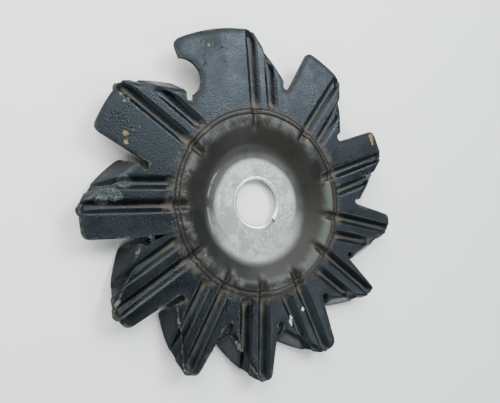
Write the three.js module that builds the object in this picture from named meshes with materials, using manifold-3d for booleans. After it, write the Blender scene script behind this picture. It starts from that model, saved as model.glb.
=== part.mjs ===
// Alternator cooling fan: a dished hub that is clamped on the rotor shaft, inside a ring of
// eleven pressed blades. Each blade is a flat plate with two pressed ribs and one folded vane.
// Millimetres. The shaft is the Z axis, +Z points to the pulley, and z = 0 is the plane that the
// fan rests on when it lies on the tips of its vanes.
import * as THREE from 'three';
import { mergeVertices } from 'three/addons/utils/BufferGeometryUtils.js';
import Module from 'manifold-3d';

const wasm = await Module();
wasm.setup();

// ---- driving dimensions ----------------------------------------------------------------------
const SHEET = 1.4;                 // steel sheet of both pressings
const SEAM_R = 34;                 // circle where the blade ring meets the hub dish
const SEAM_GAP = 0.3;              // clearance that is left between the two pressings
const RIM_R = 63.2;                // blade tips

const FIRST_BLADE_DEG = 95;        // direction of rib 1 on the balanced blade, from +X
// Angle from each blade to the next one, clockwise from the front. They differ on purpose,
// so that the fan doesn't whistle on one note.
const PITCHES_DEG = [40, 35, 29, 26, 29, 27, 27, 28, 31, 37, 51];

// In a blade's own frame, x runs clockwise along the rim and y runs outwards along rib 1.
const SLOT_END = new THREE.Vector2(13.7, 43.3);   // centre of the round slot end
const SLOT_END_R = 1.45;
// The slot after each blade: how far it was punched from SLOT_END, clockwise, and the lean of
// its far side from y towards x. No two are quite alike.
const SLOTS = [
  { shift: 0.7, lean: 34.5 },
  { shift: 0.7, lean: 36.5 },
  { shift: 0.4, lean: 33.5 },
  { shift: 0.3, lean: 35 },
  { shift: 0.2, lean: 37 },
  { shift: -0.2, lean: 35 },
  { shift: -0.2, lean: 34 },
  { shift: -0.8, lean: 33.5 },
  { shift: -0.6, lean: 31.5 },
  { shift: -0.9, lean: 32 },
  { shift: -0.9, lean: 33 },
];
const FOLD_INNER = new THREE.Vector2(13.05, 44.8);
const FOLD_OUTER = new THREE.Vector2(0.8, 62.9);
const FOLD_DEG = 60;               // how far the vane is bent down
const VANE_CORNER = new THREE.Vector2(2.7, 8.4);  // along the fold, and down the vane
const VANE_BELLY = new THREE.Vector2(15, 7.3);
// Height of the blades' front face above the vane tips that the fan rests on.
const BLADE_FACE_Z = VANE_CORNER.y * Math.sin(THREE.MathUtils.degToRad(FOLD_DEG))
  + SHEET * Math.cos(THREE.MathUtils.degToRad(FOLD_DEG));
const CORNER_CUT = 2.0;            // rounding of the blade's leading corner

const RIB_TOP_W = 5.0;
const RIB_FLOOR_W = 1.4;
const RIB_DEPTH = 2.0;
const RIBS = [                     // offset from the blade's own y axis, start and end radius
  { offset: 0, from: 35.6, to: 60 },
  { offset: 7.3, from: 35.6, to: 56 },
];

const BALANCE_CENTRE = new THREE.Vector2(16.7, 48.6);  // punched clear of the balanced blade
const BALANCE_R = 6.5;

const BORE_R = 8.5;                // 17 mm shaft
const BORE_CHAMFER = 0.9;
const KEYWAY_W = 4.8;
const KEYWAY_REACH = 10.3;
const KEYWAY_DEG = -55;
const DISH_DEPTH = 5.1;
const DISH_LIP_R = 31;             // where the lip starts to turn down
const DISH_LIP_BEND = 6;
const DISH_FLOOR_BEND = 8;
const DISH_WALL_DEG = 30;
const DISH_SEGMENTS = 48;

const BLADES = PITCHES_DEG.length;

// ---- helpers ---------------------------------------------------------------------------------
const rad = THREE.MathUtils.degToRad;

// A closed three.js geometry as a manifold solid.
function solid(geometry) {
  const bare = geometry.index ? geometry.toNonIndexed() : geometry.clone();
  bare.deleteAttribute('normal');
  bare.deleteAttribute('uv');
  const merged = mergeVertices(bare, 1e-5);
  return new wasm.Manifold(new wasm.Mesh({
    numProp: 3,
    vertProperties: new Float32Array(merged.attributes.position.array),
    triVerts: new Uint32Array(merged.index.array),
  }));
}

// A manifold solid as a three.js mesh with flat faces.
function meshOf(name, body, material) {
  const out = body.getMesh();
  const geometry = new THREE.BufferGeometry();
  geometry.setAttribute('position', new THREE.Float32BufferAttribute(out.vertProperties, 3));
  geometry.setIndex(Array.from(out.triVerts));
  geometry.computeVertexNormals();
  const mesh = new THREE.Mesh(geometry, material);
  mesh.name = name;
  return mesh;
}

// Upright prism of an outline, between two heights.
function prism(shape, low, high, curveSegments = 8) {
  const geometry = new THREE.ExtrudeGeometry(shape, {
    depth: high - low,
    bevelEnabled: false,
    curveSegments,
  });
  return geometry.translate(0, 0, low);
}

// Direction of each blade's rib 1, in degrees from +X.
function bladeDirections() {
  const directions = [FIRST_BLADE_DEG];
  for (const pitch of PITCHES_DEG.slice(0, -1)) {
    directions.push(directions[directions.length - 1] - pitch);
  }
  return directions;
}

// Moves a geometry that is drawn in a blade's own frame to that blade.
function toBlade(geometry, direction) {
  return geometry.rotateZ(rad(direction - 90));
}

// Where a line from a point, in a unit direction, crosses the circle of a given radius.
function crossCircle(point, direction, radius) {
  const along = point.dot(direction);
  const step = -along + Math.sqrt(along ** 2 - point.lengthSq() + radius ** 2);
  return point.clone().addScaledVector(direction, step);
}

// ---- blade ring: flat plate ------------------------------------------------------------------
// One blade's share of the outline, from the slot before it to its own fold, in clockwise order.
function bladeOutline(previousDirection, slot, direction) {
  const origin = new THREE.Vector2();
  const turnPrevious = rad(previousDirection - 90);
  const turn = rad(direction - 90);
  const lean = new THREE.Vector2(Math.sin(rad(slot.lean)), Math.cos(rad(slot.lean)));
  const across = new THREE.Vector2(lean.y, -lean.x);
  const slotEnd = new THREE.Vector2(SLOT_END.x + slot.shift, SLOT_END.y);
  const slotSide = slotEnd.clone().addScaledVector(across, SLOT_END_R);

  const points = [];
  for (let step = 0; step <= 4; step += 1) {
    const angle = Math.PI + (step / 4) * (Math.PI - rad(slot.lean));
    const round = new THREE.Vector2(Math.cos(angle), Math.sin(angle));
    points.push(slotEnd.clone().addScaledVector(round, SLOT_END_R));
  }
  const corner = crossCircle(slotSide, lean, RIM_R).rotateAround(origin, turnPrevious);
  const foldOuter = FOLD_OUTER.clone().rotateAround(origin, turn);
  const start = corner.angle();
  const sweep = (start - foldOuter.angle() + 2 * Math.PI) % (2 * Math.PI);
  const cut = Math.min(CORNER_CUT, 0.35 * sweep * RIM_R);
  for (const point of points) {
    point.rotateAround(origin, turnPrevious);
  }
  lean.rotateAround(origin, turnPrevious);
  points.push(corner.clone().addScaledVector(lean, -cut));
  const cutSweep = cut / RIM_R;
  const steps = Math.max(1, Math.round(sweep / rad(5)));
  for (let step = 0; step <= steps; step += 1) {
    const angle = start - cutSweep - (step / steps) * (sweep - cutSweep * 1.5);
    points.push(new THREE.Vector2(Math.cos(angle), Math.sin(angle)).multiplyScalar(RIM_R));
  }
  points.push(foldOuter);
  points.push(FOLD_INNER.clone().rotateAround(origin, turn));
  return points;
}

function ringPlate(directions) {
  const points = [];
  for (let blade = 0; blade < BLADES; blade += 1) {
    const before = (blade + BLADES - 1) % BLADES;
    points.push(...bladeOutline(directions[before], SLOTS[before], directions[blade]));
  }
  const shape = new THREE.Shape(points);
  const seam = new THREE.Path();
  seam.absarc(0, 0, SEAM_R, 0, 2 * Math.PI, false);
  shape.holes.push(seam);
  return solid(prism(shape, BLADE_FACE_Z - SHEET, BLADE_FACE_Z, DISH_SEGMENTS));
}

// ---- blade ring: folded vane -----------------------------------------------------------------
// The vane's own axes: along the fold, down the vane, and through the sheet to its back.
function vaneFrame() {
  const along = FOLD_OUTER.clone().sub(FOLD_INNER).normalize();
  const outward = new THREE.Vector3(along.y, -along.x, 0);
  const down = outward.clone().multiplyScalar(Math.cos(rad(FOLD_DEG)));
  down.z = -Math.sin(rad(FOLD_DEG));
  const fold = new THREE.Vector3(along.x, along.y, 0);
  const back = new THREE.Vector3().crossVectors(fold, down);
  const frame = new THREE.Matrix4().makeBasis(fold, down, back);
  return frame.setPosition(FOLD_INNER.x, FOLD_INNER.y, BLADE_FACE_Z);
}

function vane(direction) {
  const foldLength = FOLD_OUTER.distanceTo(FOLD_INNER);
  const shape = new THREE.Shape();
  shape.moveTo(0, 0);
  shape.lineTo(foldLength, 0);
  shape.quadraticCurveTo(VANE_BELLY.x, VANE_BELLY.y, VANE_CORNER.x, VANE_CORNER.y);
  shape.lineTo(0, 0);
  return solid(toBlade(prism(shape, 0, SHEET, 6).applyMatrix4(vaneFrame()), direction));
}

// Everything on the far side of the vane's front face, to trim the backs of the ribs.
function beyondVane(direction) {
  const block = new THREE.BoxGeometry(80, 80, 40);
  block.translate(10, 0, -20);
  return solid(toBlade(block.applyMatrix4(vaneFrame()), direction));
}

// ---- blade ring: pressed ribs ----------------------------------------------------------------
// A rib is a channel pressed from the front: a groove, with a wall of sheet behind it.
function ribPrism({ offset, from, to }, topWidth, floorWidth, top, floor, direction) {
  const section = new THREE.Shape([
    new THREE.Vector2(-topWidth / 2, top),
    new THREE.Vector2(-floorWidth / 2, floor),
    new THREE.Vector2(floorWidth / 2, floor),
    new THREE.Vector2(topWidth / 2, top),
  ]);
  const geometry = new THREE.ExtrudeGeometry(section, { depth: to - from, bevelEnabled: false });
  geometry.rotateX(Math.PI / 2);
  geometry.translate(offset, to, 0);
  return solid(toBlade(geometry, direction));
}

function ribGroove(rib, direction) {
  const floor = BLADE_FACE_Z - RIB_DEPTH;
  const overshoot = 0.5;
  const slope = (RIB_TOP_W - RIB_FLOOR_W) / RIB_DEPTH;
  const widened = RIB_TOP_W + overshoot * slope;
  return ribPrism(rib, widened, RIB_FLOOR_W, BLADE_FACE_Z + overshoot, floor, direction);
}

function ribBack(rib, direction) {
  const floor = BLADE_FACE_Z - RIB_DEPTH - SHEET;
  const top = BLADE_FACE_Z - SHEET / 2;
  const wall = 1.2 * SHEET;
  const covered = { offset: rib.offset, from: rib.from - 1, to: rib.to + 1 };
  const back = ribPrism(covered, RIB_TOP_W + wall, RIB_FLOOR_W + wall, top, floor, direction);
  return back.subtract(beyondVane(direction));
}

function bladeRing() {
  const directions = bladeDirections();
  let ring = ringPlate(directions);
  const punch = new THREE.Shape();
  punch.absarc(BALANCE_CENTRE.x, BALANCE_CENTRE.y, BALANCE_R, 0, 2 * Math.PI, false);
  const lastDirection = directions[BLADES - 1];
  ring = ring.subtract(solid(toBlade(prism(punch, 0, 2 * BLADE_FACE_Z, 16), lastDirection)));
  for (const direction of directions) {
    ring = ring.add(vane(direction));
    for (const rib of RIBS) {
      ring = ring.add(ribBack(rib, direction));
    }
  }
  for (const direction of directions) {
    for (const rib of RIBS) {
      ring = ring.subtract(ribGroove(rib, direction));
    }
  }
  return ring;
}

// ---- hub dish --------------------------------------------------------------------------------
// Front face of the dish from its edge to the chamfer, as points with the face's slope there.
function dishFace() {
  const wall = rad(DISH_WALL_DEG);
  const bends = DISH_LIP_BEND + DISH_FLOOR_BEND;
  const straight = (DISH_DEPTH - bends * (1 - Math.cos(wall))) / Math.sin(wall);
  const face = [{ r: SEAM_R - SEAM_GAP, z: BLADE_FACE_Z, slope: 0 }];
  for (let step = 0; step <= 4; step += 1) {
    const slope = (step / 4) * wall;
    face.push({
      r: DISH_LIP_R - DISH_LIP_BEND * Math.sin(slope),
      z: BLADE_FACE_Z - DISH_LIP_BEND * (1 - Math.cos(slope)),
      slope,
    });
  }
  const floorZ = BLADE_FACE_Z - DISH_DEPTH;
  const floorR = DISH_LIP_R - bends * Math.sin(wall) - straight * Math.cos(wall);
  for (let step = 4; step >= 0; step -= 1) {
    const slope = (step / 4) * wall;
    face.push({
      r: floorR + DISH_FLOOR_BEND * Math.sin(slope),
      z: floorZ + DISH_FLOOR_BEND * (1 - Math.cos(slope)),
      slope,
    });
  }
  return face;
}

function hubDish() {
  const face = dishFace();
  const floorZ = BLADE_FACE_Z - DISH_DEPTH;
  const front = face.map(({ r, z }) => new THREE.Vector2(r, z));
  const back = face.map(({ r, z, slope }) => new THREE.Vector2(
    r + SHEET * Math.sin(slope),
    z - SHEET * Math.cos(slope),
  ));
  back[0].x = front[0].x;
  back.reverse();
  const profile = [
    new THREE.Vector2(BORE_R, floorZ - SHEET),
    ...back,
    ...front,
    new THREE.Vector2(BORE_R + BORE_CHAMFER, floorZ),
    new THREE.Vector2(BORE_R, floorZ - BORE_CHAMFER / 2),
    new THREE.Vector2(BORE_R, floorZ - SHEET),
  ];
  const lathe = new THREE.LatheGeometry(profile, DISH_SEGMENTS).rotateX(Math.PI / 2);
  const keyway = new THREE.BoxGeometry(KEYWAY_REACH, KEYWAY_W, 4 * SHEET);
  keyway.translate(KEYWAY_REACH / 2, 0, floorZ - SHEET / 2).rotateZ(rad(KEYWAY_DEG));
  return solid(lathe).subtract(solid(keyway));
}

// ---- the assembly ----------------------------------------------------------------------------
const enamel = new THREE.MeshStandardMaterial({ color: 0x2c3640, roughness: 0.42, metalness: 0.1 });
const graphite = new THREE.MeshStandardMaterial({ color: 0x6b6d6c, roughness: 0.4, metalness: 0.8 });

const fan = new THREE.Group();
fan.add(meshOf('blade_ring', bladeRing(), enamel));
fan.add(meshOf('hub_dish', hubDish(), graphite));

export default fan;
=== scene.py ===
"""Looks of a pressed steel alternator fan: its blade ring, its hub dish, the table and the light."""
import math

import bmesh
import bpy
import numpy as np
from mathutils import Matrix, Vector


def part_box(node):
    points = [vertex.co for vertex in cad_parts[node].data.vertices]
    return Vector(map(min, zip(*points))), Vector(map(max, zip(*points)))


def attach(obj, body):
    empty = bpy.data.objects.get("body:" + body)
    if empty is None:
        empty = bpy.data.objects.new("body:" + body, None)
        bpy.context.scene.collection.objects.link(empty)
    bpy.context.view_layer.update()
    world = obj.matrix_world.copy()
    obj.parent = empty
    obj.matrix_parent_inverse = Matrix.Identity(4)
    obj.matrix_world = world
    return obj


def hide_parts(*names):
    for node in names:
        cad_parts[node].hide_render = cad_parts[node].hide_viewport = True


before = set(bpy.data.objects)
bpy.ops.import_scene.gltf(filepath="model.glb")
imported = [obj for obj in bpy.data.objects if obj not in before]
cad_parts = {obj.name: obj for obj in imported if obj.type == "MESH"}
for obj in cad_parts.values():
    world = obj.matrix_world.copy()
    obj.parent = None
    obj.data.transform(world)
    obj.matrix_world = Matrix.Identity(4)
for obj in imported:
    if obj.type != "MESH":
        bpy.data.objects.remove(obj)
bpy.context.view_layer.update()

# ---- Camera -------------------------------------------------------------------------------------
# The fan is looked at from its pulley side, from about fifteen centimetres away and thirty degrees
# off the shaft. The view's upright is the fan's own Y axis, give or take half a degree.
MM = 0.001
face_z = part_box("blade_ring")[1].z

eye = Vector((-82.2 * MM, -9.9 * MM, face_z + 133.8 * MM))
aim = Vector((-6.0 * MM, 0, face_z))
LENS = 31.3
SENSOR_WIDTH = 36
NEAREST = 10 * MM
ROLL_DEG = -0.56

backward = (eye - aim).normalized()
rightward = Vector((0, 1, 0)).cross(backward).normalized()
upward = backward.cross(rightward)
camera_data = bpy.data.cameras.new("camera")
camera_data.lens = LENS
camera_data.sensor_width = SENSOR_WIDTH
camera_data.clip_start = NEAREST
camera = bpy.data.objects.new("camera", camera_data)
bpy.context.scene.collection.objects.link(camera)
axes = Matrix((rightward, upward, backward)).transposed()
camera.matrix_world = (
    Matrix.Translation(eye) @ axes.to_4x4() @ Matrix.Rotation(math.radians(ROLL_DEG), 4, "Z")
)
bpy.context.scene.camera = camera

# ---- Blade ring: blank and pressing -------------------------------------------------------------
# One stamping of 1.4 mm sheet steel. A flat blank is pierced with a slot after each blade, two
# ribs are pressed into each blade from the front, and the flap between the ribs and the slot is
# folded down to make the vane. Sizes are in millimetres until the mesh is finished.
SHEET = 1.4
SEAM_R = 33.93
RIM_R = 63.2
FIRST_BLADE_DEG = 95
PITCHES_DEG = (40, 35, 29, 26, 29, 27, 27, 28, 31, 37, 51)
BLADES = len(PITCHES_DEG)

# In a blade's own frame x runs clockwise round the fan, and y outwards along its first rib.
SLOT_END = np.array((13.7, 43.3))
SLOT_END_R = 1.45
SLOT_SHIFTS = (0.7, 0.7, 0.4, 0.3, 0.2, -0.2, -0.2, -0.8, -0.6, -0.9, -0.9)
SLOT_LEANS_DEG = (34.5, 36.5, 33.5, 35, 37, 35, 34, 33.5, 31.5, 32, 33)
CORNER_ROUND = 2.4
CORNER_SHARE = 0.4
BALANCE_CENTRE = np.array((16.7, 48.6))
BALANCE_R = 6.5

FOLD_INNER = np.array((13.6, 45.2))
FOLD_OUTER = np.array((1.35, 63.05))
FOLD_DEG = 60
BEND_R = 2.5
VANE_CORNER = (2.7, 8.25)
VANE_BELLY = (15.0, 7.3)
VANE_ROUND = 1.2
VANE_EASE = 0.9

RIB_OFFSETS = (0.0, 7.3)
RIB_HALF_WIDTH = 2.45
RIB_DEPTH = 2.0
RIB_FLOOR = 0.06
RIB_LEAN = 0.014
RIB_UPRIGHT_AT = 40
RIB_AT_SEAM = (0.62, 0.0)
RIB_START = 3
RIB_RUNS_OUT = ((60.8, 64.4), (60.0, 64.0))
RIB_PAST_FOLD = (0.5, 7.0)
# Toward the fold the groove grows square: over this length, by this much at its floor and its side.
SQUARE_RUN = 7
SQUARE_FLOOR = 0.4
SQUARE_SIDE = 0.2

# The sheet's rows and columns before it is cut: close over the ribs, wide over the plain blade.
ROWS = 50
RIB_STEP = 0.4
WIDE_STEP = 0.75
LEAST_WIDE = 3
BESIDE_RIBS = (3.2, 2.0)
SPREAD = 6
FLAP_COLUMNS = 16
FLAP_STRETCH = 1.2

# Steps in each round of the outline, and how far the rough outline stands clear of rim and seam.
SLOT_STEPS = 6
CORNER_STEPS = 4
BELLY_STEPS = 14
RIM_STEPS = 12
HOLE_STEPS = 40
CLEAR = 2

CUT_REACH = 0.8
CUT_SNAP = 1e-4
MERGE_CUTS = 0.03
MERGE_PARTS = 0.02
EDGE_BAND = 3
MARKS = ("rib", "fold", "edge")
RING_EDGE = 0.08
to_metres = Matrix.Translation((0, 0, face_z)) @ Matrix.Scale(MM, 4)


def smooth(low, high, value):
    """0 below low, 1 above high, and a smooth rise between them."""
    share = np.clip((value - low) / (high - low), 0, 1)
    return share * share * (3 - 2 * share)


def turned(point, degrees):
    """A point in the plane, turned about the shaft."""
    angle = math.radians(degrees)
    c, s = math.cos(angle), math.sin(angle)
    return np.array((point[0] * c - point[1] * s, point[0] * s + point[1] * c))


def unit(degrees):
    """One millimetre in a direction."""
    return np.array((math.cos(math.radians(degrees)), math.sin(math.radians(degrees))))


def heading(vector):
    """The direction of a vector, in degrees."""
    return math.degrees(math.atan2(vector[1], vector[0]))


def arc(centre, radius, start, end, steps):
    """Points on an arc, both ends included, angles in degrees."""
    return [centre + radius * unit(start + (end - start) * i / steps) for i in range(steps + 1)]


def curve(start, control, end, steps):
    """Points on a quadratic curve, both ends included."""
    shares = [i / steps for i in range(steps + 1)]
    return [(1 - s) ** 2 * start + 2 * s * (1 - s) * control + s * s * end for s in shares]


fold_along = (FOLD_OUTER - FOLD_INNER) / np.linalg.norm(FOLD_OUTER - FOLD_INNER)
fold_across = np.array((fold_along[1], -fold_along[0]))


def on_flap(along, across):
    """A point of the flat flap, from its place along the fold and out from it."""
    return FOLD_INNER + along * fold_along + across * fold_across


def slot_of(blade):
    """Slot after a blade, in that blade's frame: centre of its round end, and its lean."""
    centre = SLOT_END + np.array((SLOT_SHIFTS[blade], 0))
    return centre, unit(90 - SLOT_LEANS_DEG[blade])


def leading_edge(blade):
    """Free edge of a blade from the slot before it, up to the rim."""
    pitch = PITCHES_DEG[blade - 1]
    centre, lean = slot_of(blade - 1)
    centre, lean = turned(centre, pitch), turned(lean, pitch)
    side = np.array((lean[1], -lean[0]))
    foot = centre + SLOT_END_R * side
    along = foot @ lean
    corner = foot + lean * (math.sqrt(along ** 2 - foot @ foot + RIM_R ** 2) - along)
    room = math.radians(heading(corner) - heading(FOLD_OUTER)) * RIM_R
    cut = min(CORNER_ROUND, CORNER_SHARE * room)
    after = RIM_R * unit(heading(corner) - math.degrees(cut / RIM_R))
    points = arc(centre, SLOT_END_R, heading(-centre), heading(side), SLOT_STEPS)
    return points + curve(corner - cut * lean, corner, after, CORNER_STEPS)


def flap_edge(blade):
    """Free edge of a blade's flap, from the rim round to the slot after it."""
    centre, _ = slot_of(blade)
    corner = on_flap(*VANE_CORNER)
    margin = curve(FOLD_OUTER, on_flap(*VANE_BELLY), corner, BELLY_STEPS)
    before = corner + (margin[-2] - corner) * VANE_EASE
    toward_slot = (FOLD_INNER - corner) / np.linalg.norm(FOLD_INNER - corner)
    rounded = curve(before, corner, corner + VANE_ROUND * toward_slot, CORNER_STEPS)
    slot_left = arc(centre, SLOT_END_R, 180, heading(-centre) % 360, SLOT_STEPS)
    return margin[:-2] + rounded + [FOLD_INNER] + slot_left


def blank_outline(blade):
    """Closed outline of a blade's share of the blank, and the stretches of it that are cut."""
    lead, flap = leading_edge(blade), flap_edge(blade)
    over = arc(np.zeros(2), RIM_R + CLEAR, heading(lead[-1]), heading(FOLD_OUTER), RIM_STEPS)
    feet = [foot * (SEAM_R - CLEAR) / np.linalg.norm(foot) for foot in (lead[0], flap[-1])]
    return [feet[0]] + lead + over + flap + [feet[1]], (lead, flap)


def inside(points, outline):
    """Which points lie inside a closed outline."""
    hits = np.zeros(len(points), bool)
    for a, b in zip(outline, outline[1:] + outline[:1]):
        if a[1] == b[1]:
            continue
        crosses = (a[1] > points[:, 1]) != (b[1] > points[:, 1])
        x = a[0] + (points[:, 1] - a[1]) * (b[0] - a[0]) / (b[1] - a[1])
        hits ^= crosses & (points[:, 0] < x)
    return hits


def distance(points, a, b):
    """How far each point is from the stretch between a and b."""
    step = b - a
    share = np.clip(((points - a) @ step) / (step @ step), 0, 1)
    return np.linalg.norm(points - a - share[:, None] * step, axis=1)


def face_centres(sheet):
    """Where the faces' middles lie, seen along the shaft."""
    return np.array([face.calc_center_median()[:2] for face in sheet.faces])


def flat_sheet(blade):
    """Sheet for one blade: rows on circles round the shaft, and columns along the ribs."""
    before = math.radians(90 - heading(leading_edge(blade)[0]))
    after = math.radians(90 - heading(slot_of(blade)[0]))
    left, right = RIB_OFFSETS[0] - BESIDE_RIBS[0], RIB_OFFSETS[1] + BESIDE_RIBS[1]
    wide = max(LEAST_WIDE, round((left - SEAM_R * math.sin(before)) / WIDE_STEP))
    middle = round((right - left) / RIB_STEP)
    columns = [((1 - i / wide) * math.sin(before), left * i / wide) for i in range(wide)]
    columns += [(0.0, left + (right - left) * i / middle) for i in range(middle)]
    columns += [(i / SPREAD * math.sin(after), right * (1 - i / SPREAD)) for i in range(SPREAD)]
    columns += [(math.sin(after), i * RIB_STEP * FLAP_STRETCH) for i in range(FLAP_COLUMNS)]
    sheet = bmesh.new()
    bmesh.ops.create_grid(sheet, x_segments=len(columns) - 1, y_segments=ROWS, size=0.5)
    for vert in sheet.verts:
        slope, offset = columns[round((vert.co.x + 0.5) * (len(columns) - 1))]
        radius = SEAM_R + (RIM_R - SEAM_R) * (vert.co.y + 0.5)
        x = slope * radius + offset
        vert.co = (x, math.sqrt(radius ** 2 - x ** 2), 0)
    return sheet


def cut_line(sheet, a, b):
    """Cuts the faces that a stretch of outline runs through, along that stretch."""
    close = distance(face_centres(sheet), a, b) < CUT_REACH
    faces = [face for face, is_close in zip(sheet.faces, close) if is_close]
    edges = dict.fromkeys(edge for face in faces for edge in face.edges)
    verts = dict.fromkeys(vert for face in faces for vert in face.verts)
    normal = (b[1] - a[1], a[0] - b[0], 0)
    geometry = faces + list(edges) + list(verts)
    bmesh.ops.bisect_plane(sheet, geom=geometry, dist=CUT_SNAP, plane_co=(*a, 0), plane_no=normal)


def drop_faces(sheet, waste, merge):
    """Takes faces away, and welds the slivers that the cuts have left."""
    faces = [face for face, is_waste in zip(sheet.faces, waste) if is_waste]
    bmesh.ops.delete(sheet, geom=faces, context="FACES")
    bmesh.ops.remove_doubles(sheet, verts=sheet.verts, dist=merge)


def pierce(sheet, outline, cuts, hole):
    """Trims the sheet to its outline, less a round hole where there is one."""
    stretches = [pair for line in cuts for pair in zip(line, line[1:])]
    if hole is not None:
        ring = arc(hole, BALANCE_R, 0, 360, HOLE_STEPS)
        stretches += list(zip(ring, ring[1:]))
    for a, b in stretches:
        cut_line(sheet, a, b)
    centres = face_centres(sheet)
    waste = ~inside(centres, outline)
    if hole is not None:
        waste |= np.linalg.norm(centres - hole, axis=1) <= BALANCE_R
    drop_faces(sheet, waste, MERGE_CUTS)


def rib_depth(x, radius, out):
    """Depth of the ribs' grooves, and nearness to their middle lines; out is how far past the fold."""
    depth = np.zeros_like(x)
    middle = np.zeros_like(x)
    for offset, (fade, end), seam in zip(RIB_OFFSETS, RIB_RUNS_OUT, RIB_AT_SEAM):
        across = np.abs(x - offset - RIB_LEAN * (radius - RIB_UPRIGHT_AT)) / RIB_HALF_WIDTH
        square = smooth(-SQUARE_RUN, 0, out)
        section = 1 - smooth(RIB_FLOOR + SQUARE_FLOOR * square, 1 - SQUARE_SIDE * square, across)
        start = seam + (1 - seam) * smooth(SEAM_R, SEAM_R + RIB_START, radius)
        over_fold = 1 - smooth(*RIB_PAST_FOLD, out)
        share = start * over_fold * (1 - smooth(fade, end, radius))
        depth += section * share
        middle += np.clip(1 - across, 0, 1) * share
    return depth, middle


def press(sheet, cuts, hole):
    """Presses the ribs and folds the vane. Leaves on the mesh where ribs, fold and edges are."""
    flat = np.array([vert.co[:2] for vert in sheet.verts])
    radius = np.linalg.norm(flat, axis=1)
    out = (flat - FOLD_INNER) @ fold_across
    along = (flat - FOLD_INNER) @ fold_along
    depth, middle = rib_depth(flat[:, 0], radius, out)

    edge = RIM_R - radius
    for line in cuts:
        for a, b in zip(line, line[1:]):
            edge = np.minimum(edge, distance(flat, a, b))
    if hole is not None:
        edge = np.minimum(edge, np.abs(np.linalg.norm(flat - hole, axis=1) - BALANCE_R))

    fold = math.radians(FOLD_DEG)
    bend_start = -BEND_R * math.tan(fold / 2)
    past = out - bend_start
    swing = np.clip(past / BEND_R, 0, fold)
    straight = past - BEND_R * swing
    reach = BEND_R - RIB_DEPTH * depth
    new_out = bend_start + reach * np.sin(swing) + straight * np.cos(swing)
    new_z = -BEND_R + reach * np.cos(swing) - straight * np.sin(swing)
    folded = FOLD_INNER + along[:, None] * fold_along + new_out[:, None] * fold_across
    bent = past > 0
    place = np.where(bent[:, None], folded, flat)
    height = np.where(bent, new_z, -RIB_DEPTH * depth)

    bend_middle = np.abs(past - BEND_R * fold / 2) / BEND_R
    values = (middle, 1 - np.clip(bend_middle, 0, 1), 1 - np.clip(edge / EDGE_BAND, 0, 1))
    layers = [sheet.verts.layers.float.new(name) for name in MARKS]
    for i, vert in enumerate(sheet.verts):
        vert.co = (*place[i], height[i])
        for layer, value in zip(layers, values):
            vert[layer] = value[i]


def joined_ring():
    """All blades, each turned to its direction and welded to the next."""
    ring = bmesh.new()
    for name in MARKS:
        ring.verts.layers.float.new(name)
    scrap = bpy.data.meshes.new("scrap")
    direction = FIRST_BLADE_DEG
    for blade in range(BLADES):
        outline, cuts = blank_outline(blade)
        hole = turned(BALANCE_CENTRE, PITCHES_DEG[-1]) if blade == 0 else None
        sheet = flat_sheet(blade)
        pierce(sheet, outline, cuts, hole)
        press(sheet, cuts, hole)
        place = Matrix.Rotation(math.radians(direction - 90), 4, "Z")
        bmesh.ops.transform(sheet, matrix=place, verts=sheet.verts)
        sheet.to_mesh(scrap)
        ring.from_mesh(scrap)
        sheet.free()
        direction -= PITCHES_DEG[blade]
    bpy.data.meshes.remove(scrap)
    bmesh.ops.remove_doubles(ring, verts=ring.verts, dist=MERGE_PARTS)
    bmesh.ops.transform(ring, matrix=to_metres, verts=ring.verts)
    return ring


def finished(name, build):
    """A piece in the scene from a finished bmesh, shaded smooth."""
    for face in build.faces:
        face.smooth = True
    mesh = bpy.data.meshes.new(name)
    build.to_mesh(mesh)
    build.free()
    piece = bpy.data.objects.new(name, mesh)
    bpy.context.scene.collection.objects.link(piece)
    return piece


def give_thickness(piece, edge):
    """The sheet's thickness behind its front, and an edge broken by that much in mm."""
    wall = piece.modifiers.new("sheet", "SOLIDIFY")
    wall.thickness = SHEET * MM
    wall.offset = -1
    burr = piece.modifiers.new("edge", "BEVEL")
    burr.width = edge * MM
    burr.segments = 2
    burr.limit_method = "ANGLE"
    burr.angle_limit = math.radians(50)
    return burr


blade_ring = finished("blade_ring_pressing", joined_ring())
burr = give_thickness(blade_ring, RING_EDGE)
# The slivers beside the cuts would hold back the whole edge.
burr.use_clamp_overlap = False
burr.loop_slide = False
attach(blade_ring, "root")
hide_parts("blade_ring")

# ---- Blade ring: enamel -------------------------------------------------------------------------
# Blue-black stoving enamel with a fine orange peel, over bare steel. It is worn through on the
# cut edges and along the fold, chipped in a few places, and the ribs hold brown road dirt.
ENAMEL_DEEP = (0.0014, 0.0019, 0.0025)
ENAMEL_DUSTY = (0.0040, 0.0054, 0.0068)
RIB_DIRT = (0.062, 0.054, 0.040)
SEAM_DIRT = (0.085, 0.070, 0.050)
BARE_EDGE = (0.060, 0.063, 0.050)
CHIP_BEIGE = (0.165, 0.130, 0.052)
# Near white: chips of bare steel with a painted glint.
CHIP_GLINT_WHITE = (0.45, 0.47, 0.45)
SCUFF_GREY = (0.085, 0.095, 0.095)
FOLD_GREY = (0.13, 0.135, 0.12)
SHEEN_BLUE = (0.76, 0.90, 1.0)
ENAMEL_SHEEN = 0.31
ENAMEL_ROUGHNESS = 0.34
PEEL_HEIGHT = 0.11

# Where dust by the seam thins out, the dark line at the joint, and the side with a worn fold.
SEAM_DUST = (34.2, 42.5)
JOINT_LINE = (35.0, 35.3)
LOWER_LEFT = (30, 55)

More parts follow.
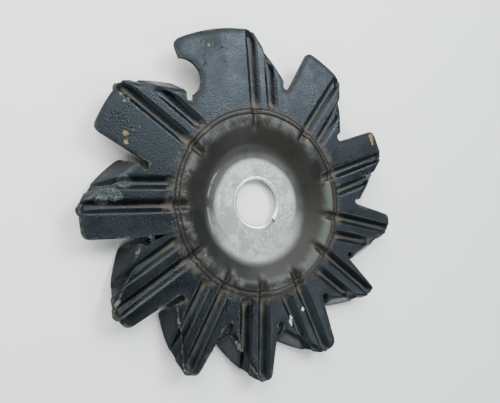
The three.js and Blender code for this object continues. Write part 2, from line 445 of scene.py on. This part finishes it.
# Damage on the front, each mark as its place and its radius.
SCUFFS = ((-49.6, 4.6, 2.8), (-53.3, 1.8, 2.8), (-56.6, -1.2, 2.0))
SCRATCHED = ((-18.0, 50.0, 6.0), (-24.0, 54.0, 3.5))
BEIGE_CHIPS = (
    (-49.8, 20.1, 1.0),
    (-49.7, 17.3, 0.8),
    (-21.7, 53.7, 0.6),
    (-48.9, 31.4, 0.6),
    (-50.3, 30.2, 0.5),
    (-51.4, 32.4, 0.6),
    (-50.2, 32.9, 0.5),
    (-45.5, 22.6, 0.3),
    (-47.4, 21.4, 0.3),
    (53.6, 29.2, 1.4),
    (54.0, 27.8, 1.2),
    (54.4, 26.3, 0.9),
)
# Chips of bare steel, painted near white as a painted glint.
GLINTING_CHIPS = ((16.3, -39.8, 0.7), (11.2, -44.0, 1.2), (11.9, -42.9, 0.9))
SPOT_RAGGED = 3.2
SPOT_FIRM = 0.8


class Wire:
    """One output of a shader node. Sums and products of wires add Math nodes."""

    def __init__(self, tree, socket=None):
        self.tree = tree
        self.socket = socket

    def node(self, kind, settings=None, values=None, output=0):
        """Adds a node with its settings and its socket values or links, and gives one output."""
        made = self.tree.nodes.new("ShaderNode" + kind)
        for name, value in (settings or {}).items():
            setattr(made, name, value)
        for name, value in (values or {}).items():
            socket = made.inputs[name]
            if isinstance(value, Wire):
                self.tree.links.new(value.socket, socket)
            elif isinstance(value, tuple) and len(value) == 3 and socket.type == "RGBA":
                socket.default_value = (*value, 1)
            else:
                socket.default_value = value
        return Wire(self.tree, made.outputs[output]) if made.outputs else None

    def math(self, operation, *others):
        """A Math node on this wire and others."""
        return self.node("Math", {"operation": operation}, dict(enumerate((self, *others))))

    def __add__(self, other):
        return self.math("ADD", other)

    def __sub__(self, other):
        return self.math("SUBTRACT", other)

    def __mul__(self, other):
        return self.math("MULTIPLY", other)

    def __rsub__(self, other):
        return self.node("Math", {"operation": "SUBTRACT"}, {0: other, 1: self})

    __radd__ = __add__
    __rmul__ = __mul__

    def most(self, *others):
        """The greatest of this wire and others."""
        top = self
        for other in others:
            top = top.math("MAXIMUM", other)
        return top

    def above(self, low, high):
        """0 below low and 1 above high, with a smooth rise."""
        settings = {"interpolation_type": "SMOOTHSTEP"}
        return self.node("MapRange", settings, {"Value": self, "From Min": low, "From Max": high})

    def past(self, low, high):
        """The same rise for a length, with low and high in mm."""
        return self.above(low * MM, high * MM)

    def over(self, below, colour):
        """Lays a colour over another, as thick as this wire says."""
        values = {"Factor": self, 6: below, 7: colour}
        return self.node("Mix", {"data_type": "RGBA"}, values, output=2)

    def axis(self, number):
        """One of the three parts of a vector."""
        return self.node("SeparateXYZ", None, {0: self}, output=number)

    def flattened(self):
        """A place with its height left out."""
        return self.node("VectorMath", {"operation": "MULTIPLY"}, {0: self, 1: (1, 1, 0)})

    def length(self):
        """How long a vector is, in metres."""
        return self.node("VectorMath", {"operation": "LENGTH"}, {0: self}, output=1)

    def away_from(self, x, y):
        """How far a place is from a point that is given in mm, in metres."""
        values = {0: self, 1: (x * MM, y * MM, 0)}
        return self.node("VectorMath", {"operation": "DISTANCE"}, values, output=1)


def new_finish(name):
    """An empty material, and a wire to start its nodes from."""
    material = bpy.data.materials.new(name)
    material.use_nodes = True
    material.node_tree.nodes.clear()
    return material, Wire(material.node_tree)


def grain(wire, place, scale, detail=3.0, rough=0.55):
    """Noise between 0 and 1; scale is in spots to the metre."""
    values = {"Vector": place, "Scale": scale, "Detail": detail, "Roughness": rough}
    return wire.node("TexNoise", None, values)


def mark(wire, name):
    """What the pressing left on the mesh under that name."""
    return wire.node("Attribute", {"attribute_name": name}, None, output=2)


def front_of(wire, sure):
    """1 on the side that looks up along the shaft; sure is how far up that has to be."""
    return wire.node("NewGeometry", None, None, output=1).axis(2).above(0.0, sure)


def at_spots(place, spots, wobble):
    """1 at any of some spots of the fan's front, given as (x, y, radius) in mm; ragged borders."""
    flat = place.flattened()
    marks = []
    for x, y, radius in spots:
        ragged = flat.away_from(x, y) + (wobble - 0.5) * (radius * MM * SPOT_RAGGED)
        marks.append(1 - ragged.above(radius * MM * SPOT_FIRM, radius * MM))
    return marks[0].most(*marks[1:])


def coat(wire, constants, **varying):
    """Ends a material: one shader from its constants and from what varies over the surface."""
    values = dict(constants)
    values.update({name.replace("_", " ").title(): value for name, value in varying.items()})
    shader = wire.node("BsdfPrincipled", None, values)
    wire.node("OutputMaterial", None, {"Surface": shader})


enamel, paint = new_finish("blade_enamel_worn")
place = paint.node("TexCoord", None, None, output=3)
rib = mark(paint, "rib")
fold_line = mark(paint, "fold")
cut_edge = mark(paint, "edge")
front = front_of(paint, 0.15)
out_from_shaft = place.length()
by_seam = 1 - out_from_shaft.past(*SEAM_DUST)

peel = grain(paint, place, 2600, 1.0)
cloud = grain(paint, place, 48, 5.0)
blotch = grain(paint, place, 170, 4.0, 0.65)
speck = grain(paint, place, 700, 3.0, 0.6)
fine = grain(paint, place, 2400, 2.0)
ragged = (speck + fine) * 0.5

# Enamel, then the dirt in the ribs, the dust by the seam, and the dark line at the joint.
colour = cloud.above(0.38, 0.64).over(ENAMEL_DEEP, ENAMEL_DUSTY)
rib_dirt = (rib + (blotch - 0.5) * 0.5 + by_seam * 0.2).above(0.72, 1.0)
rib_dirt = rib_dirt * (0.55 + by_seam * 0.3) * front
colour = rib_dirt.over(colour, RIB_DIRT)
haze = by_seam * (0.65 + rib * 0.5) + (speck - 0.5) * 1.1 + (blotch - 0.5) * 1.1
haze = haze.above(0.35, 1.0)
colour = (haze * 0.6).over(colour, SEAM_DIRT)
joint_line = (1 - out_from_shaft.past(*JOINT_LINE)) * front
colour = (joint_line * 0.85).over(colour, ENAMEL_DEEP)

# Enamel rubbed off the cut edges and the folds.
worn = (cut_edge + (speck - 0.5) * 1.2 + (blotch - 0.5) * 1.5).above(0.80, 1.05)
lower_left = (0.0 - place.axis(0) - place.axis(1)).past(*LOWER_LEFT)
fold_worn = fold_line + (speck - 0.5) * 1.0 + (blotch - 0.5) * 1.4 + lower_left * 0.15
fold_worn = fold_worn.above(1.05, 1.25) * (0.35 + lower_left * 0.5)
colour = (worn * 0.65).over(colour, BARE_EDGE)
colour = (fold_worn * 0.9).over(colour, FOLD_GREY)

# Scuffs, scratches and chips; the near-white chips are bare steel with a painted glint.
scuffed = at_spots(place, SCUFFS, blotch) * (speck + fine).above(0.85, 1.15) * front
colour = (scuffed * 0.75).over(colour, SCUFF_GREY)
sweep = grain(paint, place, 130, 2.0)
scratch = 1 - (sweep - 0.5).math("ABSOLUTE").above(0.004, 0.012)
scratch = scratch * at_spots(place, SCRATCHED, speck) * blotch.above(0.35, 0.5)
chipped = at_spots(place, BEIGE_CHIPS, ragged) * front
colour = (chipped * speck.above(0.36, 0.50)).over(colour, CHIP_BEIGE)
# The near-white chips are real chips; their brightness is a painted glint.
chip_glint = at_spots(place, GLINTING_CHIPS, ragged) * front
colour = chip_glint.over(colour, CHIP_GLINT_WHITE)

# The shine goes where there is dirt or wear, and toward the edges.
matt = rib_dirt.most(haze, worn, chipped, scuffed, scratch)
rim_dull = cut_edge.above(0.1, 0.9)
clear = (cloud - 0.5) * 0.45 + (blotch - 0.5) * 0.5
roughness = ENAMEL_ROUGHNESS + clear + matt * 0.30 + rim_dull * 0.24
height = peel + speck * (matt * 1.5 + 0.05) - scratch * 0.8
bumps = paint.node("Bump", None, {"Strength": 1.0, "Distance": PEEL_HEIGHT * MM, "Height": height})
constants = {"Specular IOR Level": ENAMEL_SHEEN, "Specular Tint": (*SHEEN_BLUE, 1)}
coat(paint, constants, base_color=colour, roughness=roughness, metallic=fold_worn * 0.3, normal=bumps)
blade_ring.data.materials.append(enamel)

# ---- Hub dish -----------------------------------------------------------------------------------
# The centre pressing: a shallow cup drawn from the same sheet, with a flat land that the pulley
# boss is clamped against, and a 17 mm bore with a slot for the shaft key. Its lip is dented where
# each blade's first rib runs into it, and a tool has scored a fine line round it.
DISH_EDGE_R = 33.85
DISH_DEPTH = 5.1
LIP_ROWS = (DISH_EDGE_R, 33.3, 33.0)
LIP_TOP_R = 31.5
LIP_R = 31.0
LIP_BEND = 6.0
FLOOR_BEND = 8.0
WALL_DEG = 30
TOOL_LINE_R = 32.35
TOOL_LINE_HALF = 0.35
TOOL_LINE_DEPTH = 0.28
TOOL_LINE_SHARES = (-1, -0.4, 0, 0.4, 1)
LAND_ROWS = (16.0, 14.0, 12.5, 11.6, 11.0, 10.4, 10.1, 10.03)
CHAMFER_ROWS = ((9.93, 0.07), (9.83, 0.0), (9.4, 0.05), (9.0, 0.16), (8.7, 0.33), (8.5, 0.55))
KEYWAY_W = 4.8
KEYWAY_REACH = 10.3
KEYWAY_START = 7.0
KEYWAY_DEG = -55
LIP_STEPS = 8
WALL_STEPS = 6
FLOOR_STEPS = 10
DISH_STEPS = 360
DENT_RUN = (25.5, 31.5)
FAR_FROM_FOLD = -20.0
DISH_EDGE = 0.12
ORDER_WAY = (1.0, 1.618, 0.377)


def dish_profile():
    """Front of the dish, from its edge in to its bore: radius and height of each point."""
    wall = math.radians(WALL_DEG)
    bends = LIP_BEND + FLOOR_BEND
    straight = (DISH_DEPTH - bends * (1 - math.cos(wall))) / math.sin(wall)
    land_r = LIP_R - bends * math.sin(wall) - straight * math.cos(wall)
    profile = [np.array((radius, 0.0)) for radius in LIP_ROWS]
    for share in TOOL_LINE_SHARES:
        depth = TOOL_LINE_DEPTH * (1 - abs(share))
        profile.append(np.array((TOOL_LINE_R - share * TOOL_LINE_HALF, -depth)))
    profile.append(np.array((LIP_TOP_R, 0.0)))
    lip = arc(np.array((LIP_R, -LIP_BEND)), LIP_BEND, 90, 90 + WALL_DEG, LIP_STEPS)
    floor_centre = np.array((land_r, FLOOR_BEND - DISH_DEPTH))
    bowl = arc(floor_centre, FLOOR_BEND, 270 + WALL_DEG, 270, FLOOR_STEPS)
    slope = [lip[-1] + (bowl[0] - lip[-1]) * i / WALL_STEPS for i in range(1, WALL_STEPS)]
    profile += lip + slope + bowl
    profile += [np.array((radius, -DISH_DEPTH)) for radius in LAND_ROWS]
    return profile + [np.array((radius, -DISH_DEPTH - drop)) for radius, drop in CHAMFER_ROWS]


def place_in_order(part):
    """A number from where a vertex, edge or face lies, so that every run lists them alike."""
    corners = getattr(part, "verts", [part])
    return sum((corner.co for corner in corners), Vector()).dot(Vector(ORDER_WAY))


def spun_dish():
    """Front skin of the dish, turned round the shaft, with the key slot cut out of it."""
    dish = bmesh.new()
    line = [dish.verts.new((radius, 0, height)) for radius, height in dish_profile()]
    edges = [dish.edges.new(pair) for pair in zip(line, line[1:])]
    shaft = {"cent": (0, 0, 0), "axis": (0, 0, 1), "dvec": (0, 0, 0)}
    bmesh.ops.spin(
        dish, geom=line + edges, **shaft, angle=2 * math.pi, steps=DISH_STEPS, use_merge=True
    )
    for parts in (dish.verts, dish.edges, dish.faces):
        parts.sort(key=place_in_order)
        parts.index_update()
    bmesh.ops.reverse_faces(dish, faces=dish.faces)
    half = KEYWAY_W / 2
    corners = ((KEYWAY_START, -half), (KEYWAY_REACH, -half), (KEYWAY_REACH, half), (KEYWAY_START, half))
    slot = [turned(corner, KEYWAY_DEG) for corner in corners]
    for a, b in zip(slot, slot[1:]):
        cut_line(dish, a, b)
    drop_faces(dish, inside(face_centres(dish), slot), MERGE_PARTS)
    return dish


def dent_lip(dish):
    """Lets the first rib of each blade run out over the dish's lip."""
    flat = np.array([vert.co[:2] for vert in dish.verts])
    dent = np.zeros(len(flat))
    direction = FIRST_BLADE_DEG
    for pitch in PITCHES_DEG:
        x, y = flat @ unit(direction - 90), flat @ unit(direction)
        groove, _ = rib_depth(x, np.full_like(x, SEAM_R), np.full_like(x, FAR_FROM_FOLD))
        dent += groove * smooth(*DENT_RUN, y)
        direction -= pitch
    layer = dish.verts.layers.float.new("dent")
    for vert, depth in zip(dish.verts, dent):
        vert.co.z -= RIB_DEPTH * depth
        vert[layer] = depth


dish_build = spun_dish()
dent_lip(dish_build)
bmesh.ops.transform(dish_build, matrix=to_metres, verts=dish_build.verts)
hub_dish = finished("hub_dish_pressing", dish_build)
give_thickness(hub_dish, DISH_EDGE)
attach(hub_dish, "root")
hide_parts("hub_dish")

# The cup keeps a thin dark graphite coat. It is rubbed bare on the land, burnished on the bore's
# chamfer and thinned on the lip, which also carries a painted sheen; dirt has packed into the tool
# line and the seam.
COAT_DARK = (0.011, 0.0115, 0.011)
COAT_BROWN = (0.020, 0.0185, 0.0165)
LIP_WEAR_AND_SHEEN = (0.064, 0.074, 0.067)
BARE_STEEL = (0.52, 0.555, 0.545)
DULL_STEEL = (0.27, 0.295, 0.285)
DARK_SPECK = (0.085, 0.09, 0.085)
BURNISHED = (0.80, 0.82, 0.80)
RUST = (0.092, 0.060, 0.038)
OLD_GREASE = (0.120, 0.110, 0.080)
DENT_AND_LINE_DARK = (0.012, 0.010, 0.008)
GRAPHITE_SHEEN = 0.2
GRAPHITE_ROUGHNESS = 0.40
GRAIN_HEIGHT = 0.12

# Rings of the finish, each as the radii over which it comes in and those over which it goes.
THIN_LIP_AND_SHEEN = ((26.6, 30.3), (31.2, 33.0))
# The light arc at the land's left is a painted reflection.
REFLECTION_ARC = ((19.6, 19.9), (20.3, 20.7))
CHAMFER_RING = ((8.60, 8.66), (9.85, 9.92))
CHAMFER_LINE = ((9.80, 9.90), (10.02, 10.12))
TOOL_GROOVE = ((31.9, 32.2), (32.5, 32.8))
# Where the rubbed land, the painted light beyond it on the lower wall, the lip's grime and the
# joint's dark line begin or end.
RUBBED_CENTRE = (0, -1.1)
RUBBED_LAND = (16.0, 18.6)
LIT_WALL_HALO = (16.0, 23.0)
LIP_GRIME = (29.0, 33.5)
JOINT_EDGE = (33.4, 33.7)
# Changes across the dish, up it and from its left side to its right.
UPPER_HALF = (-16, 0)
LEFT_SIDE = (-19, -12)
GREASE_TO_RUST = (-12, 16)


def ring_of(radius, band):
    """1 within a ring of the dish's front."""
    comes, goes = band
    return radius.past(*comes) * (1 - radius.past(*goes))


graphite, cup = new_finish("dish_graphite_worn")
place = cup.node("TexCoord", None, None, output=3)
dent = mark(cup, "dent")
flat = place.flattened()
radius = flat.length()
along_x = place.axis(0)
front = front_of(cup, 0.2)

cloud = grain(cup, place, 55, 4.0)
blotch = grain(cup, place, 230, 4.0, 0.65)
speck = grain(cup, place, 1000, 2.0, 0.6)
fine = grain(cup, place, 3200, 2.0, 0.5)

# The coat, thinned on the lip with a painted sheen there, and dark in the dents.
colour = cloud.above(0.35, 0.65).over(COAT_DARK, COAT_BROWN)
# The lip is lighter grey where the coat is thin, with a painted sheen along its rounded edge.
lip = ring_of(radius, THIN_LIP_AND_SHEEN) * (1 - dent.above(0.02, 0.2)) * front
lip = lip * (cloud + (blotch - 0.5) * 0.9 + (speck - 0.5) * 0.4).above(0.40, 0.70)
colour = lip.over(colour, LIP_WEAR_AND_SHEEN)
# Darker in the dents, where the ribs run over the lip.
colour = (dent.above(0.04, 0.35) * 0.85).over(colour, DENT_AND_LINE_DARK)

# Bare steel on the land. The same steel is painted further down the lower wall as painted
# light, and a light arc at its left is a painted reflection.
from_land = flat.away_from(*RUBBED_CENTRE)
ragged_from_land = from_land + (cloud - 0.5) * (3.0 * MM) + (blotch - 0.5) * (1.2 * MM)
upper = place.axis(1).past(*UPPER_HALF)
# Painted light: the lower wall, which faces the lamp, is painted in bare steel beyond the land.
lit_wall_halo = (1 - ragged_from_land.past(*LIT_WALL_HALO)) * (1 - upper * 0.88)
bare_land_and_lit_wall = (1 - ragged_from_land.past(*RUBBED_LAND)).most(lit_wall_halo) * front
dulled = (blotch + (cloud - 0.5) * 1.2 + (fine - 0.5) * 0.8).above(0.34, 0.66)
colour = bare_land_and_lit_wall.over(colour, dulled.over(DULL_STEEL, BARE_STEEL))
# A light steel-grey arc at the left of the land: a painted reflection.
painted_reflection_arc = ring_of(from_land, REFLECTION_ARC) * blotch.above(0.42, 0.6)
painted_reflection_arc = painted_reflection_arc * (1 - along_x.past(*LEFT_SIDE)) * front
colour = (painted_reflection_arc * 0.45).over(colour, DULL_STEEL)
pits = bare_land_and_lit_wall * (fine * 0.75 + speck * 0.35 + (cloud - 0.5) * 0.9).above(0.56, 0.66)
colour = (pits * 0.65).over(colour, DARK_SPECK)

# The burnished chamfer and the dark line round it.
burnish = ring_of(radius, CHAMFER_RING) * front
colour = burnish.over(colour, BURNISHED)
outline = ring_of(radius, CHAMFER_LINE) * front
colour = (outline * 0.8).over(colour, DARK_SPECK)

# Grime on the lip, greasy at the left and rusty at the right; dark dirt in the tool line and joint.
grime = radius.past(*LIP_GRIME) * 0.5 + (blotch - 0.5) * 1.7 + (speck - 0.5) * 1.5
grime = grime.above(0.52, 0.95) * 0.65 * front
colour = grime.over(colour, along_x.past(*GREASE_TO_RUST).over(OLD_GREASE, RUST))
tool_line = ring_of(radius, TOOL_GROOVE) * front
colour = (tool_line * 0.85).over(colour, DENT_AND_LINE_DARK)
joint_line = radius.past(*JOINT_EDGE) * front
colour = (joint_line * 0.85).over(colour, DENT_AND_LINE_DARK)

metal = bare_land_and_lit_wall.most(burnish) * (1 - pits * 0.6) * (1 - outline) * 0.95
roughness = GRAPHITE_ROUGHNESS + (cloud - 0.5) * 0.2 + bare_land_and_lit_wall * 0.10 + grime * 0.35 - burnish * 0.15
height = fine * bare_land_and_lit_wall * 1.2 + speck * (bare_land_and_lit_wall * 0.6 + grime * 1.5 + 0.15)
bumps = cup.node("Bump", None, {"Strength": 0.5, "Distance": GRAIN_HEIGHT * MM, "Height": height})
constants = {"Specular IOR Level": GRAPHITE_SHEEN}
coat(cup, constants, base_color=colour, roughness=roughness, metallic=metal, normal=bumps)
hub_dish.data.materials.append(graphite)

# ---- Table and light ----------------------------------------------------------------------------
# The fan lies on a pale painted table top. Four soft lamps stand round it, the strongest to its
# upper right, and the room adds a little even light.
TABLE_HALF = 1.5
TABLE_PAINT = (0.84, 0.85, 0.84)
TABLE_ROUGHNESS = 0.6
ROOM_COLOUR = (0.90, 0.96, 1.0)
ROOM_STRENGTH = 0.15
# Each lamp: the way to it from the fan, its distance and its size in metres, watts, and colour.
LAMPS = {
    "window": ((0.44, 0.50, 0.74), 1.1, 0.5, 15.0, (0.90, 0.96, 1.0)),
    "lantern": ((-0.42, 0.66, 0.62), 0.45, 0.4, 4.2, (1.0, 0.985, 0.96)),
    "far_window": ((0.66, -0.33, 0.67), 1.1, 0.35, 4.2, (0.95, 1.0, 0.99)),
    "doorway": ((-0.50, -0.62, 0.60), 0.8, 0.6, 3.0, (0.96, 1.0, 0.99)),
}

table_build = bmesh.new()
bmesh.ops.create_grid(table_build, x_segments=1, y_segments=1, size=TABLE_HALF)
table = finished("table", table_build)
table_paint, painted = new_finish("table_paint")
coat(painted, {"Base Color": TABLE_PAINT, "Roughness": TABLE_ROUGHNESS})
table.data.materials.append(table_paint)

room = bpy.data.worlds.new("room")
bpy.context.scene.world = room
room.use_nodes = True
room_light = room.node_tree.nodes["Background"]
room_light.inputs["Color"].default_value = (*ROOM_COLOUR, 1)
room_light.inputs["Strength"].default_value = ROOM_STRENGTH

for name, (towards, away, size, watts, lamp_colour) in LAMPS.items():
    lamp_data = bpy.data.lights.new(name, "AREA")
    lamp_data.size = size
    lamp_data.color = lamp_colour
    lamp_data.energy = watts
    lamp = bpy.data.objects.new(name, lamp_data)
    direction = Vector(towards).normalized()
    turn = direction.to_track_quat("Z", "Y").to_matrix().to_4x4()
    lamp.matrix_world = Matrix.Translation(direction * away) @ turn
    bpy.context.scene.collection.objects.link(lamp)
